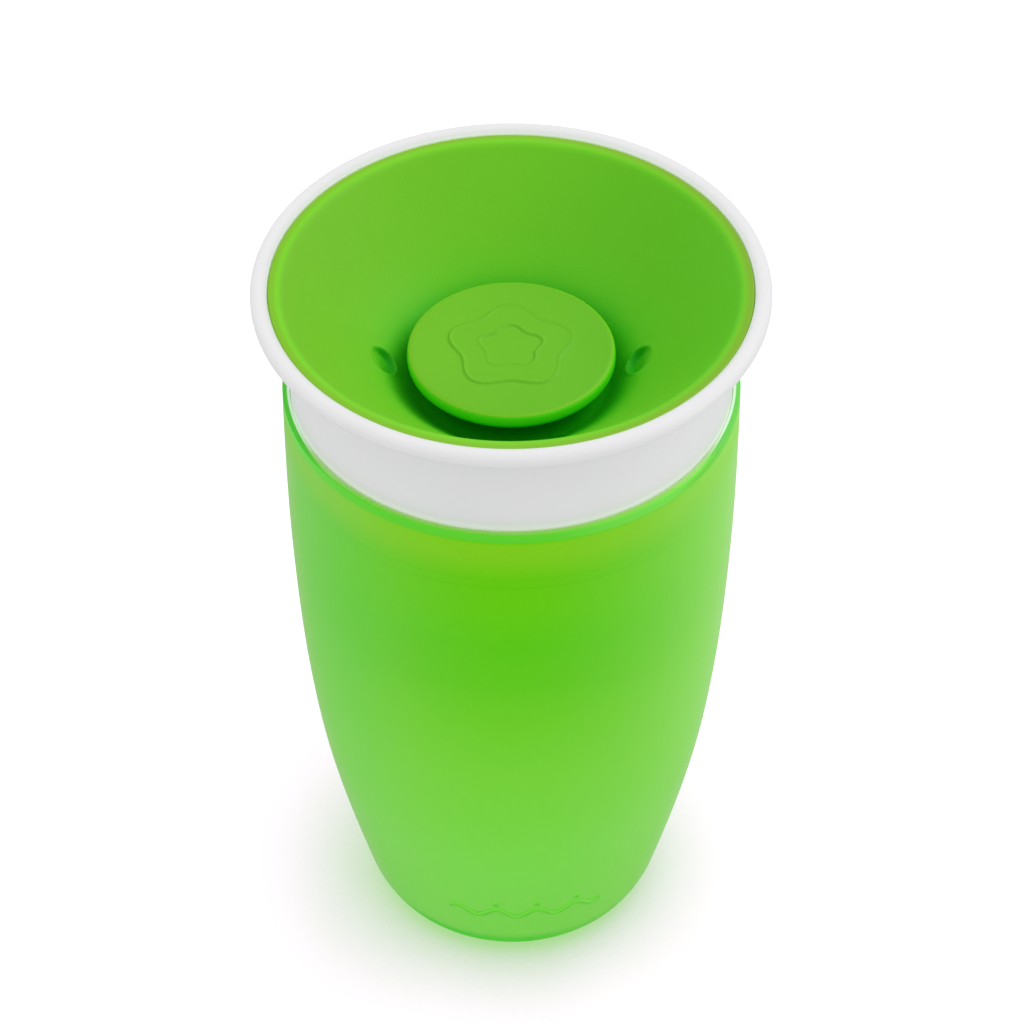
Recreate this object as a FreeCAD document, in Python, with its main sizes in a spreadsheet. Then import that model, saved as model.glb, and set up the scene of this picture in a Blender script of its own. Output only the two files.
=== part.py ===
import FreeCAD, Part
import math
import os
import Sketcher

# Spoutless training cup in six pieces: tumbler, screw-in lip collar, ring gasket,
# spoked valve support, funnel-shaped valve disc and pull knob.
# Millimetres, +Z up, origin at the centre of the foot, lid screwed home.

Vector = FreeCAD.Vector
UP = Vector(0, 0, 1)

THREAD_STARTS = 3
SPOKE_COUNT = 6

# ---------------------------------------------------------------- dimensions
# alias, value or formula, note
DIMENSIONS = [
    # tumbler
    ("foot_radius", 18.25, "outer radius of the flat foot ring"),
    ("foot_inner_radius", 15.0, "inner radius of the flat foot ring"),
    ("foot_recess", 1.0, "depth of the recess under the base"),
    ("foot_bevel", 0.8, "radial width of the sloping side of the recess"),
    ("floor_top", 3.4, "height of the inside floor"),
    ("cup_height", 111.0, "height of the tumbler's rim"),
    ("rim_radius", 36.72, "outer radius of the rim"),
    ("rim_round", 0.45, "edge round of the rim"),
    ("socket_radius", 35.55, "radius of the mouth socket that takes the collar's band"),
    ("ledge_height", 107.5, "height of the gasket ledge"),
    ("bore_radius", 34.4, "radius of the threaded bore"),
    ("bore_bottom", 97.0, "lower end of the threaded bore"),
    # screw thread
    ("thread_lead", 12.0, "advance in one full turn"),
    ("thread_sweep", 4.8, "height climbed by each ridge"),
    ("ridge_base", 0.9, "half thickness of a ridge at its root"),
    ("ridge_crest", 0.45, "half thickness of a ridge at its crest"),
    ("ridge_root_depth", 0.3, "how far a ridge's root sinks into its wall"),
    ("cup_ridge_radius", 33.35, "crest radius of the tumbler's ridges"),
    ("cup_ridge_start", 99.0, "height where a ridge of the tumbler starts"),
    ("collar_ridge_radius", 34.15, "crest radius of the collar's ridges"),
    ("collar_ridge_start", 101.0, "height where a ridge of the collar starts"),
    # lip collar
    ("lip_radius", 41.15, "outer radius of the drinking lip"),
    ("lip_top", 131.4, "height of the drinking lip"),
    ("lip_roll", 1.35, "radius of the rolled lip's section"),
    ("lip_inner_radius", 38.5, "radius of the recess around the disc"),
    ("lip_inner_height", 130.7, "height where the lip's crown ends at the recess"),
    ("lip_skirt_height", 129.7, "lower end of the lip's upright outer face"),
    ("lip_under_radius", 39.75, "where the lip starts to curl under"),
    ("lip_under_height", 128.25, "height where the lip starts to curl under"),
    ("seat_height", 128.9, "height of the disc's seat"),
    ("seat_inner_radius", 36.6, "inner radius of the disc's seat"),
    ("band_radius", "=socket_radius - 0.05", "plain band under the lip, a close fit in the socket"),
    ("band_relief", 0.05, "step in from the band to the part in the socket"),
    ("band_foot_rise", 1.2, "height above the rim where the band starts to widen"),
    ("band_full_rise", 2.4, "height above the rim where the band has its full radius"),
    ("band_top", 123.6, "upper end of the plain band"),
    ("collar_step", 109.2, "height of the step that squeezes the gasket"),
    ("skirt_radius", 33.1, "outer radius of the skirt"),
    ("skirt_bottom", 98.9, "lower end of the skirt"),
    ("collar_bore_radius", 33.3, "bore of the collar behind the band"),
    ("collar_throat_radius", 30.3, "bore above the support's shoulder"),
    ("throat_drop", 0.9, "top of the throat below the collar's step"),
    ("shoulder_height", 105.0, "shoulder that stops the valve support"),
    ("snap_radius", 31.15, "bore that takes the valve support"),
    ("snap_bead", 0.35, "height of the snap bead"),
    ("snap_bead_half", 0.55, "half width of the snap bead, roughly"),
    ("snap_bead_start", 0.1, "bead's upper end below the valve support"),
    ("snap_bead_crest", 0.55, "bead's crest below the valve support"),
    ("snap_bead_end", 1.1, "bead's lower end below the valve support"),
    # gasket
    ("gasket_inner_radius", 33.15, "inner radius of the gasket"),
    ("gasket_outer_radius", 35.4, "outer radius of the gasket"),
    ("gasket_gap", 0.02, "gap above and below the gasket"),
    ("gasket_round", 0.4, "edge round of the gasket's outer corners"),
    # valve support
    ("ring_radius", "=snap_radius - 0.1", "support's ring, a running fit in its bore"),
    ("ring_inner_radius", 28.8, "inner radius of the support's ring"),
    ("support_bottom", 101.45, "underside of ring, spokes and hub"),
    ("ring_top", "=shoulder_height - 0.05", "top of the ring, just under the shoulder"),
    ("hub_radius", 8.6, "outer radius of the hub's foot"),
    ("hub_taper", 0.6, "how much narrower the hub is at its top"),
    ("hub_bore_radius", 5.47, "running bore for the knob's plug"),
    ("hub_top", 108.85, "top of the hub"),
    ("spoke_width", 2.2, "width of a spoke at its underside"),
    ("spoke_taper", 0.25, "how much each flank leans in at the top"),
    ("spoke_overlap", 0.6, "how far a spoke runs into the ring"),
    ("spoke_top", 104.2, "top of the spokes"),
    # valve disc
    ("disc_radius", "=lip_inner_radius - 0.1", "outer radius, inside the collar's recess"),
    ("disc_bead_top", 130.55, "top of the disc's edge bead"),
    ("disc_bead_inner_radius", 36.1, "inner radius of the edge bead"),
    ("disc_underside", "=seat_height + 0.05", "underside of the bead, just above its seat"),
    ("disc_centre_top", 110.5, "upper face of the flat centre"),
    ("disc_centre_bottom", 108.9, "lower face of the flat centre"),
    ("disc_bore_radius", 4.4, "hole for the knob's stem"),
    ("vent_radius", 2.45, "radius of each vent dimple"),
    ("vent_depth", 0.85, "depth of each vent dimple"),
    ("vent_distance", 20.8, "vent dimple's distance from the axis"),
    ("vent_height", 115.25, "height of the disc's face at a vent"),
    ("vent_hole_radius", 0.4, "radius of the pin hole in a dimple's floor"),
    # knob
    ("knob_radius", 16.66, "outer radius of the knob"),
    ("knob_top", 117.8, "top of the knob"),
    ("knob_mid_height", 116.2, "height where the knob is widest"),
    ("knob_under_height", 114.9, "underside of the knob's rim"),
    ("knob_under_radius", 15.3, "outer end of the knob's underside"),
    ("neck_radius", 9.0, "radius of the neck's foot"),
    ("neck_bottom", 111.75, "lower face of the neck"),
    ("stem_radius", 4.32, "stem through the disc"),
    ("flange_radius", 5.4, "radius of the plug"),
    ("flange_top", 108.8, "top of the plug"),
    ("plug_bottom", 100.9, "lower end of the plug"),
    ("plug_bevel_width", 0.6, "radial width of the bevel at the plug's end"),
    ("plug_bevel_height", 0.9, "height of the bevel at the plug's end"),
    ("plug_slot", 1.2, "width of the plug's cross slots"),
    ("plug_slot_top", 106.4, "upper end of the cross slots"),
    ("plug_slot_overrun", 1.0, "how far the slot's outline starts below the plug"),
]
DIMENSIONS = [row for row in DIMENSIONS if row[0] != "snap_bead_half"]

# Spline poles of the tumbler's wall as (radius, height), in the order the outline meets them
WALL_POLES = {
    "foot_curve": [(19.9, 0.0), (23.2, 1.84), (24.965, 6.376)],
    "wall_curve": [(25.2, 7.15), (31.02, 27.92), (34.19, 48.69), (35.79, 69.46), (36.74, 90.23)],
    "inner_curve": [(34.3, 96.67), (34.28, 78.97), (33.27, 61.26), (31.6, 43.55),
                    (28.45, 25.84), (23.5, 8.13)],
    "inner_floor": [(23.08, 6.63), (21.9, 3.4), (17.6, 3.4)],
}
for curve_name, curve_poles in WALL_POLES.items():
    for letter, (radius, height) in zip("abcdef", curve_poles):
        DIMENSIONS.append(("%s_%s_radius" % (curve_name, letter), radius, ""))
        DIMENSIONS.append(("%s_%s_height" % (curve_name, letter), height, ""))

doc = FreeCAD.newDocument("TrainingCup")
sheet = doc.addObject("Spreadsheet::Sheet", "Dims")
sheet.Label = "Dims"
for row, (alias, value, note) in enumerate(DIMENSIONS, 1):
    sheet.set("A%d" % row, alias.replace("_", " "))
    sheet.set("B%d" % row, str(value))
    sheet.set("C%d" % row, note)
    sheet.setAlias("B%d" % row, alias)
doc.recompute()


class Length:
    """A length known both as a number and as an expression of the sheet's cells."""

    def __init__(self, value, text):
        self.value = float(value)
        self.text = text

    @staticmethod
    def of(source):
        return source if isinstance(source, Length) else Length(source, repr(float(source)))

    @property
    def driven(self):
        return "Dims." in self.text

    def __add__(self, other):
        other = Length.of(other)
        return Length(self.value + other.value, "(%s + %s)" % (self.text, other.text))

    def __sub__(self, other):
        other = Length.of(other)
        return Length(self.value - other.value, "(%s - %s)" % (self.text, other.text))

    def __rsub__(self, other):
        return Length.of(other) - self

    def __truediv__(self, other):
        other = Length.of(other)
        return Length(self.value / other.value, "(%s / %s)" % (self.text, other.text))


def dim(alias):
    return Length(getattr(sheet, alias), "Dims." + alias)


def poles(curve):
    """The (radius, height) pairs of one of the wall's curves."""
    return [(dim("%s_%s_radius" % (curve, letter)), dim("%s_%s_height" % (curve, letter)))
            for letter, _ in zip("abcdef", WALL_POLES[curve])]


# ------------------------------------------------------------------ sketches
def new_body(label):
    body = doc.addObject("PartDesign::Body", label)
    body.Label = label
    return body


def origin_feature(body, role):
    for feature in body.Origin.OriginFeatures:
        if feature.Role == role:
            return feature
    raise RuntimeError("no " + role)


def new_sketch(body, name, role="XZ_Plane"):
    sketch = body.newObject("Sketcher::SketchObject", name)
    sketch.AttachmentSupport = (origin_feature(body, role), [""])
    sketch.MapMode = "FlatFace"
    return sketch


def constrain(sketch, length, kind, *elements):
    """Adds a dimension and ties it to the sheet if its length comes from there."""
    index = sketch.addConstraint(Sketcher.Constraint(kind, *elements, length.value))
    if length.driven:
        sketch.setExpression("Constraints[%d]" % index, length.text)


def pin_point(sketch, edge, end, point):
    """Dimensions a point from the sketch's origin; a zero puts it onto the axis itself."""
    for source, kind, axis in zip(point, ("DistanceX", "DistanceY"), (-2, -1)):
        length = Length.of(source)
        if abs(length.value) < 1e-9:
            sketch.addConstraint(Sketcher.Constraint("PointOnObject", edge, end, axis))
        else:
            constrain(sketch, length, kind, -1, 1, edge, end)


def flat(point):
    return Vector(Length.of(point[0]).value, Length.of(point[1]).value, 0)


def add_arc(sketch, first, last, radius):
    """Minor arc that turns left (counter-clockwise) from first to last."""
    chord = last - first
    rise = math.sqrt(max(radius.value ** 2 - (chord.Length / 2) ** 2, 0.0))
    centre = (first + last) * 0.5 + Vector(-chord.y, chord.x, 0).normalize() * rise
    angles = [math.atan2(point.y - centre.y, point.x - centre.x) for point in (first, last)]
    if angles[1] <= angles[0]:
        angles[1] += 2 * math.pi
    circle = Part.Circle(centre, UP, radius.value)
    edge = sketch.addGeometry(Part.ArcOfCircle(circle, *angles), False)
    constrain(sketch, radius, "Radius", edge)
    return edge


def add_spline(sketch, first, last, inner):
    """Cubic B-spline whose inner poles are pinned; its ends are left to the outline."""
    points = [first] + [flat(point) for point in inner] + [last]
    rings = [sketch.addGeometry(Part.Circle(point, UP, 1.0), True) for point in points]
    sketch.addConstraint(Sketcher.Constraint("Weight", rings[0], 1.0))
    for ring in rings[1:]:
        sketch.addConstraint(Sketcher.Constraint("Equal", rings[0], ring))
    curve = Part.BSplineCurve(points, None, None, False, 3, None, False)
    edge = sketch.addGeometry(curve, False)
    sketch.addConstraint([
        Sketcher.Constraint("InternalAlignment:Sketcher::BSplineControlPoint", ring, 3, edge, i)
        for i, ring in enumerate(rings)])
    for ring, point in zip(rings[1:-1], inner):
        pin_point(sketch, ring, 3, point)
    return edge


def outline(sketch, items):
    """Closed outline. Items are vertices (x, y), each optionally followed by
    ("arc", radius) or ("spline", [(x, y), ...]) for the edge that leaves it."""
    vertices, kinds = [], []
    for item in items:
        if isinstance(item[0], str):
            kinds[-1] = item
        else:
            vertices.append(item)
            kinds.append(("line",))
    edges = []
    for i, kind in enumerate(kinds):
        first = flat(vertices[i])
        last = flat(vertices[(i + 1) % len(vertices)])
        if kind[0] == "line":
            edges.append(sketch.addGeometry(Part.LineSegment(first, last), False))
        elif kind[0] == "arc":
            edges.append(add_arc(sketch, first, last, kind[1]))
        else:
            edges.append(add_spline(sketch, first, last, kind[1]))
    for edge, vertex in zip(edges, vertices):
        pin_point(sketch, edge, 1, vertex)
    for edge, following in zip(edges, edges[1:] + edges[:1]):
        sketch.addConstraint(Sketcher.Constraint("Coincident", edge, 2, following, 1))


# ------------------------------------------------------------------ features
def bind(feature, attribute, length):
    setattr(feature, attribute, length.value)
    feature.setExpression(attribute, length.text)


def finish(body, feature):
    body.Tip = feature
    doc.recompute()


def turn(body, sketch_name, name, items):
    """Revolves an outline of (radius, height) points around Z."""
    sketch = new_sketch(body, sketch_name)
    outline(sketch, items)
    feature = body.newObject("PartDesign::Revolution", name)
    feature.Profile = sketch
    feature.ReferenceAxis = (sketch, ["V_Axis"])
    feature.Angle = 360.0
    finish(body, feature)


def repeat_around(body, original, name, count):
    pattern = body.newObject("PartDesign::PolarPattern", name)
    pattern.Originals = [original]
    pattern.Axis = (origin_feature(body, "Z_Axis"), [""])
    pattern.Angle = 360.0
    pattern.Occurrences = count
    finish(body, pattern)


def add_thread(body, name, section):
    """Sweeps one ridge up a right-handed helix and repeats it for every start."""
    sketch = new_sketch(body, name + "Section")
    outline(sketch, section)
    before = body.Tip.Shape.Volume
    ridge = body.newObject("PartDesign::AdditiveHelix", name)
    ridge.Profile = sketch
    ridge.ReferenceAxis = (sketch, ["V_Axis"])
    ridge.Mode = 0  # pitch and height
    bind(ridge, "Pitch", dim("thread_lead"))
    bind(ridge, "Height", dim("thread_sweep"))
    ridge.LeftHanded = False
    ridge.Reversed = False
    finish(body, ridge)
    one = ridge.Shape.Volume - before
    repeat_around(body, ridge, name + "s", THREAD_STARTS)
    added = body.Tip.Shape.Volume - before
    if abs(added - THREAD_STARTS * one) > 0.1 * one or one < 1:
        raise RuntimeError(name + " is not there for every start")


def circle_edges(shape, radius, height, tolerance=0.02):
    """Names of the circular edges around Z with this radius at this height."""
    names = []
    for number, edge in enumerate(shape.Edges, 1):
        curve = edge.Curve
        if not isinstance(curve, Part.Circle):
            continue
        offsets = (curve.Radius - radius, curve.Center.z - height, curve.Center.x, curve.Center.y)
        if all(abs(offset) < tolerance for offset in offsets):
            names.append("Edge%d" % number)
    if not names:
        raise RuntimeError("no edge of radius %.3f at height %.3f" % (radius, height))
    return names


def round_edges(body, name, picks, radius):
    base = body.Tip
    edges = []
    for pick_radius, pick_height in picks:
        edges += circle_edges(base.Shape, pick_radius.value, pick_height.value)
    feature = body.newObject("PartDesign::Fillet", name)
    feature.Base = (base, edges)
    bind(feature, "Radius", radius)
    finish(body, feature)


def cut_through(body, sketch, name):
    """Cuts a sketch through the whole body, both ways from its plane."""
    before = body.Tip.Shape.Volume
    pocket = body.newObject("PartDesign::Pocket", name)
    pocket.Profile = sketch
    pocket.Type = 1  # through all
    pocket.Midplane = True
    finish(body, pocket)
    if pocket.Shape.Volume >= before - 1e-6:
        raise RuntimeError(name + " removed nothing")


# -------------------------------------------------------------------- pieces
def make_cup():
    """Tumbler with a recessed foot, a stepped mouth and thread ridges in its bore."""
    body = new_body("cup_body")
    foot_inner, recess = dim("foot_inner_radius"), dim("foot_recess")
    rim, rim_height = dim("rim_radius"), dim("cup_height")
    socket, ledge, bore = dim("socket_radius"), dim("ledge_height"), dim("bore_radius")
    wall, inner, floor = poles("wall_curve"), poles("inner_curve"), poles("inner_floor")
    turn(body, "CupWall", "CupWallTurned", [
        (0, recess),
        (foot_inner - dim("foot_bevel"), recess),
        (foot_inner, 0),
        (dim("foot_radius"), 0), ("spline", poles("foot_curve")),
        wall[0], ("spline", wall[1:]),
        (rim, rim_height),
        (socket, rim_height),
        (socket, ledge),
        (bore, ledge),
        (bore, dim("bore_bottom")),
        inner[0], ("spline", inner[1:-1]),
        inner[-1], ("spline", floor[:-1]),
        floor[-1],
        (0, dim("floor_top")),
    ])
    crest, start = dim("cup_ridge_radius"), dim("cup_ridge_start")
    root = bore + dim("ridge_root_depth")
    add_thread(body, "CupRidge", [
        (crest, start - dim("ridge_crest")),
        (root, start - dim("ridge_base")),
        (root, start + dim("ridge_base")),
        (crest, start + dim("ridge_crest")),
    ])
    round_edges(body, "RimRound", [(rim, rim_height), (socket, rim_height)], dim("rim_round"))
    return body


def make_collar():
    """Lip collar: threaded skirt, plain band, rolled lip and the disc's seat."""
    body = new_body("lid_collar")
    skirt, skirt_bottom, step = dim("skirt_radius"), dim("skirt_bottom"), dim("collar_step")
    band, band_top = dim("band_radius"), dim("band_top")
    relieved = band - dim("band_relief")
    band_foot = dim("cup_height") + dim("band_foot_rise")
    lip, lip_top, roll = dim("lip_radius"), dim("lip_top"), dim("lip_roll")
    under, under_height = dim("lip_under_radius"), dim("lip_under_height")
    recess, recess_height, seat = dim("lip_inner_radius"), dim("lip_inner_height"), dim("seat_height")
    bore, throat, shoulder = (dim("collar_bore_radius"), dim("collar_throat_radius"),
                              dim("shoulder_height"))
    snap, support_bottom = dim("snap_radius"), dim("support_bottom")
    turn(body, "CollarSection", "CollarTurned", [
        (skirt, skirt_bottom),
        (skirt, step),
        (relieved, step),
        (relieved, band_foot),
        (band, dim("cup_height") + dim("band_full_rise")),
        (band, band_top), ("spline", [
            (band, band_top + 2.3),
            (under - 3.2, under_height - 0.35),
            (under - 1.2, under_height - 0.4)]),
        (under, under_height), ("spline", [
            (lip - 0.4, under_height + 0.33),
            (lip, under_height + 0.75)]),
        (lip, dim("lip_skirt_height")),
        (lip, lip_top - roll), ("arc", roll),
        (lip - roll, lip_top), ("spline", [
            (lip - roll - 0.5, lip_top),
            (recess + 0.35, recess_height + 0.45)]),
        (recess, recess_height),
        (recess, seat),
        (dim("seat_inner_radius"), seat),
        (bore, band_top + 0.2),
        (bore, band_foot),
        (throat, step - dim("throat_drop")),
        (throat, shoulder),
        (snap, shoulder),
        (snap, support_bottom - dim("snap_bead_start")),
        (snap - dim("snap_bead"), support_bottom - dim("snap_bead_crest")),
        (snap, support_bottom - dim("snap_bead_end")),
        (snap, skirt_bottom),
    ])
    crest, start = dim("collar_ridge_radius"), dim("collar_ridge_start")
    root = skirt - dim("ridge_root_depth")
    add_thread(body, "CollarRidge", [
        (crest, start - dim("ridge_crest")),
        (crest, start + dim("ridge_crest")),
        (root, start + dim("ridge_base")),
        (root, start - dim("ridge_base")),
    ])
    return body


def make_gasket():
    """Flat ring between the tumbler's ledge and the collar's step."""
    body = new_body("collar_gasket")
    inner, outer = dim("gasket_inner_radius"), dim("gasket_outer_radius")
    bottom = dim("ledge_height") + dim("gasket_gap")
    top = dim("collar_step") - dim("gasket_gap")
    turn(body, "GasketSection", "GasketTurned", [
        (inner, bottom), (outer, bottom), (outer, top), (inner, top)])
    round_edges(body, "GasketRound", [(outer, bottom), (outer, top)], dim("gasket_round"))
    return body


def make_support():
    """Ring and bored hub joined by spokes."""
    body = new_body("valve_support")
    bottom, ring_inner, ring_top = dim("support_bottom"), dim("ring_inner_radius"), dim("ring_top")
    turn(body, "SupportRingSection", "SupportRing", [
        (ring_inner, bottom),
        (dim("ring_radius"), bottom),
        (dim("ring_radius"), ring_top),
        (ring_inner, ring_top),
    ])

    # the first spoke runs from the axis along +X into the ring
    half, taper, spoke_top = dim("spoke_width") / 2, dim("spoke_taper"), dim("spoke_top")
    section = new_sketch(body, "SpokeSection", "YZ_Plane")
    outline(section, [
        (0 - half, bottom),
        (half, bottom),
        (half - taper, spoke_top),
        (0 - half + taper, spoke_top),
    ])
    spoke = body.newObject("PartDesign::Pad", "Spoke")
    spoke.Profile = section
    bind(spoke, "Length", ring_inner + dim("spoke_overlap"))
    finish(body, spoke)
    repeat_around(body, spoke, "Spokes", SPOKE_COUNT)

    hub, bore, hub_top = dim("hub_radius"), dim("hub_bore_radius"), dim("hub_top")
    turn(body, "SupportHubSection", "SupportHub", [
        (bore, bottom),
        (hub, bottom),
        (hub - dim("hub_taper"), hub_top),
        (bore, hub_top),
    ])
    # the bore also clears the spokes' inner ends
    sketch = new_sketch(body, "HubBoreCircle", "XY_Plane")
    circle = sketch.addGeometry(Part.Circle(Vector(0, 0, 0), UP, bore.value), False)
    sketch.addConstraint(Sketcher.Constraint("Coincident", circle, 3, -1, 1))
    constrain(sketch, bore, "Radius", circle)
    cut_through(body, sketch, "HubBore")
    return body


# Ends of the straight stretch of the disc's upper face that holds the vents, (radius, height)
VENT_SLOPE_LOW = (18.3, 113.15)
VENT_SLOPE_HIGH = (25.0, 118.95)


def cut_vent(body, side, letter):
    """Shallow dimple square to the slope on the +X or -X side, with a hole in its floor."""
    slope = math.degrees(math.atan2(VENT_SLOPE_HIGH[1] - VENT_SLOPE_LOW[1],
                                    VENT_SLOPE_HIGH[0] - VENT_SLOPE_LOW[0]))
    tilt = FreeCAD.Rotation(Vector(0, 1, 0), -side * slope)
    normal = tilt.multVec(UP)
    face = Vector(side * dim("vent_distance").value, 0, dim("vent_height").value)
    floor = face - normal * dim("vent_depth").value
    # name, radius, start along the normal from the dimple's floor, length of the cutter
    for name, radius, start, length in (("VentDimple", dim("vent_radius"), 0.0, 3.0),
                                        ("VentHole", dim("vent_hole_radius"), -3.0, 5.0)):
        cut = body.newObject("PartDesign::SubtractiveCylinder", name + letter)
        bind(cut, "Radius", radius)
        cut.Height = length
        cut.Placement = FreeCAD.Placement(floor + normal * start, tilt)
        finish(body, cut)


def make_disc():
    """Funnel-shaped disc with an edge bead, a central hole and two vents."""
    body = new_body("valve_disc")
    bore, radius = dim("disc_bore_radius"), dim("disc_radius")
    bottom, top = dim("disc_centre_bottom"), dim("disc_centre_top")
    underside = dim("disc_underside")
    bead, bead_inner = dim("disc_bead_top"), dim("disc_bead_inner_radius")
    turn(body, "DiscSection", "DiscTurned", [
        # lower face, outwards
        (bore, bottom),
        (12.6, bottom), ("spline", [
            (15.4, bottom), (16.9, bottom + 1.05), (18.6, bottom + 2.55)]),
        (25.9, bottom + 9.1),
        (30.9, bottom + 14.0),
        (36.05, underside - 0.15), ("spline", [(36.25, underside), (36.5, underside)]),
        # edge bead
        (36.9, underside),
        (radius - 0.25, underside),
        (radius, underside + 0.25),
        (radius, bead - 0.4), ("spline", [(radius, bead - 0.12), (radius - 0.12, bead)]),
        (radius - 0.4, bead),
        (bead_inner + 1.5, bead), ("spline", [
            (bead_inner + 0.95, bead), (bead_inner + 0.4, bead - 0.1), (bead_inner, bead - 0.36)]),
        (bead_inner - 0.35, bead - 0.68),
        # upper face, inwards
        (30.0, 123.9),
        VENT_SLOPE_HIGH,
        VENT_SLOPE_LOW, ("spline", [(16.9, 111.9), (15.4, top), (14.0, top)]),
        (12.0, top),
        (bore, top),
    ])
    for side, letter in ((1, "A"), (-1, "B")):
        cut_vent(body, side, letter)
    return body


def make_knob():
    """Pull knob with a stem and a plug split crosswise into four flexing fingers."""
    body = new_body("centre_knob")
    bottom, plug, plug_top = dim("plug_bottom"), dim("flange_radius"), dim("flange_top")
    stem, neck, neck_bottom = dim("stem_radius"), dim("neck_radius"), dim("neck_bottom")
    under, under_height = dim("knob_under_radius"), dim("knob_under_height")
    radius, top = dim("knob_radius"), dim("knob_top")
    turn(body, "KnobSection", "KnobTurned", [
        (0, bottom),
        (plug - dim("plug_bevel_width"), bottom),
        (plug, bottom + dim("plug_bevel_height")),
        (plug, plug_top),
        (stem, plug_top),
        (stem, neck_bottom),
        (neck, neck_bottom), ("spline", [
            (neck + 0.7, neck_bottom + 0.6),
            (neck + 0.8, under_height - 0.9),
            (neck + 1.5, under_height - 0.3)]),
        (neck + 3.2, under_height - 0.2),
        (under - 0.2, under_height - 0.05), ("spline", [
            (under + 0.9, under_height),
            (radius, under_height + 0.45)]),
        (radius, dim("knob_mid_height")),
        (radius - 0.12, top - 1.05), ("spline", [
            (radius - 0.2, top - 0.4),
            (radius - 0.7, top - 0.03)]),
        (radius - 1.4, top),
        (0, top),
    ])
    half, slot_top = dim("plug_slot") / 2, dim("plug_slot_top")
    slot_bottom = bottom - dim("plug_slot_overrun")
    for name, role in (("SplitA", "XZ_Plane"), ("SplitB", "YZ_Plane")):
        sketch = new_sketch(body, name + "Slot", role)
        outline(sketch, [
            (0 - half, slot_bottom), (half, slot_bottom), (half, slot_top), (0 - half, slot_top)])
        cut_through(body, sketch, name)
    return body


bodies = [make_cup(), make_collar(), make_gasket(), make_support(), make_disc(), make_knob()]

# -------------------------------------------------------------------- export
doc.recompute()
for obj in doc.Objects:
    if "Invalid" in obj.State or "Error" in obj.State:
        raise RuntimeError("%s is %s" % (obj.Label, obj.State))
for body in bodies:
    if body.Shape.isNull() or not body.Shape.isValid():
        raise RuntimeError(body.Label + " has no valid shape")
    if len(body.Shape.Solids) != 1:
        raise RuntimeError("%s has %d solids" % (body.Label, len(body.Shape.Solids)))
os.makedirs("parts", exist_ok=True)
for body in bodies:
    body.Shape.exportStep("parts/%s.step" % body.Label)
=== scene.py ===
"""A green frosted cup with a white lip collar, a sealing ring, a funnel-shaped silicone disc on a
spoked carrier, and a round pull knob in the middle.

The cup stands upright on the Z axis and its front faces -Y. Lengths are in millimetres, except
for lights and camera (metres). Profiles are lists of (radius, z), some with a fillet radius third.
"""
import math

import bmesh
import bpy
import numpy as np
from mathutils import Matrix, Vector


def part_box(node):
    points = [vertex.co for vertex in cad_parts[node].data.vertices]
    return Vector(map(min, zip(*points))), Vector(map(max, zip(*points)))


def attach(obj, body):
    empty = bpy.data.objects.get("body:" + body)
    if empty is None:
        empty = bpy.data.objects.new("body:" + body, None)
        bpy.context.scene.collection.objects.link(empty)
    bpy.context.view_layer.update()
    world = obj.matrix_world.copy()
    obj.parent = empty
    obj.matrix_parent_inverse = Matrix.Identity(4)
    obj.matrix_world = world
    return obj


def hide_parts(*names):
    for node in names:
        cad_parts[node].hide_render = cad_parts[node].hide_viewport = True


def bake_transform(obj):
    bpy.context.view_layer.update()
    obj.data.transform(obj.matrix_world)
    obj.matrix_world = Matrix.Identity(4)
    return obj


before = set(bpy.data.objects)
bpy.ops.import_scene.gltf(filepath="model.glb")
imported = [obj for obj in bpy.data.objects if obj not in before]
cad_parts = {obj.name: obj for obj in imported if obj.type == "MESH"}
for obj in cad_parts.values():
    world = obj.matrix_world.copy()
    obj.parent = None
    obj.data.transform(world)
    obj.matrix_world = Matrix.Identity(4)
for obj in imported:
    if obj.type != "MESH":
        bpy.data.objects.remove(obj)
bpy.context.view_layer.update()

MM = 0.001
TAU = 2.0 * math.pi


def extent(node):
    """Foot height, top height and radius of a CAD piece."""
    lo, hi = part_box(node)
    return lo.z / MM, hi.z / MM, round(0.5 * (hi.x - lo.x) / MM, 2)


CUP_FOOT, CUP_RIM, CUP_R = extent("cup_body")
COLLAR_FOOT, LIP_TOP, LIP_R = extent("lid_collar")
DISC_FOOT, DISC_TOP, DISC_R = extent("valve_disc")
PLUG_FOOT, KNOB_TOP, KNOB_R = extent("centre_knob")
GASKET_FOOT, GASKET_TOP, GASKET_R = extent("collar_gasket")
CARRIER_FOOT, CARRIER_TOP, CARRIER_R = extent("valve_support")


# ------------------------------------------------------------------- profiles
EVERYWHERE = (-math.inf, math.inf)


def lift(base_z, path):
    """Moves points given relative to base_z to their true height."""
    return [(p[0], base_z + p[1], *p[2:]) for p in path]


def spline(poles, count):
    """Clamped uniform cubic B-spline through its end poles, sampled evenly."""
    poles = np.array(poles, float)
    last, degree = len(poles) - 1, 3
    knots = np.concatenate([[0.0] * degree, np.linspace(0, 1, last - degree + 2), [1.0] * degree])
    points = []
    for u in np.linspace(0, 1, count):
        span = degree
        while span < last and u >= knots[span + 1]:
            span += 1
        d = [poles[j + span - degree].copy() for j in range(degree + 1)]
        for level in range(1, degree + 1):
            for j in range(degree, level - 1, -1):
                start = knots[j + span - degree]
                end = knots[j + 1 + span - level]
                t = (u - start) / (end - start)
                d[j] = (1 - t) * d[j - 1] + t * d[j]
        points.append((float(d[degree][0]), float(d[degree][1])))
    return points


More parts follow.
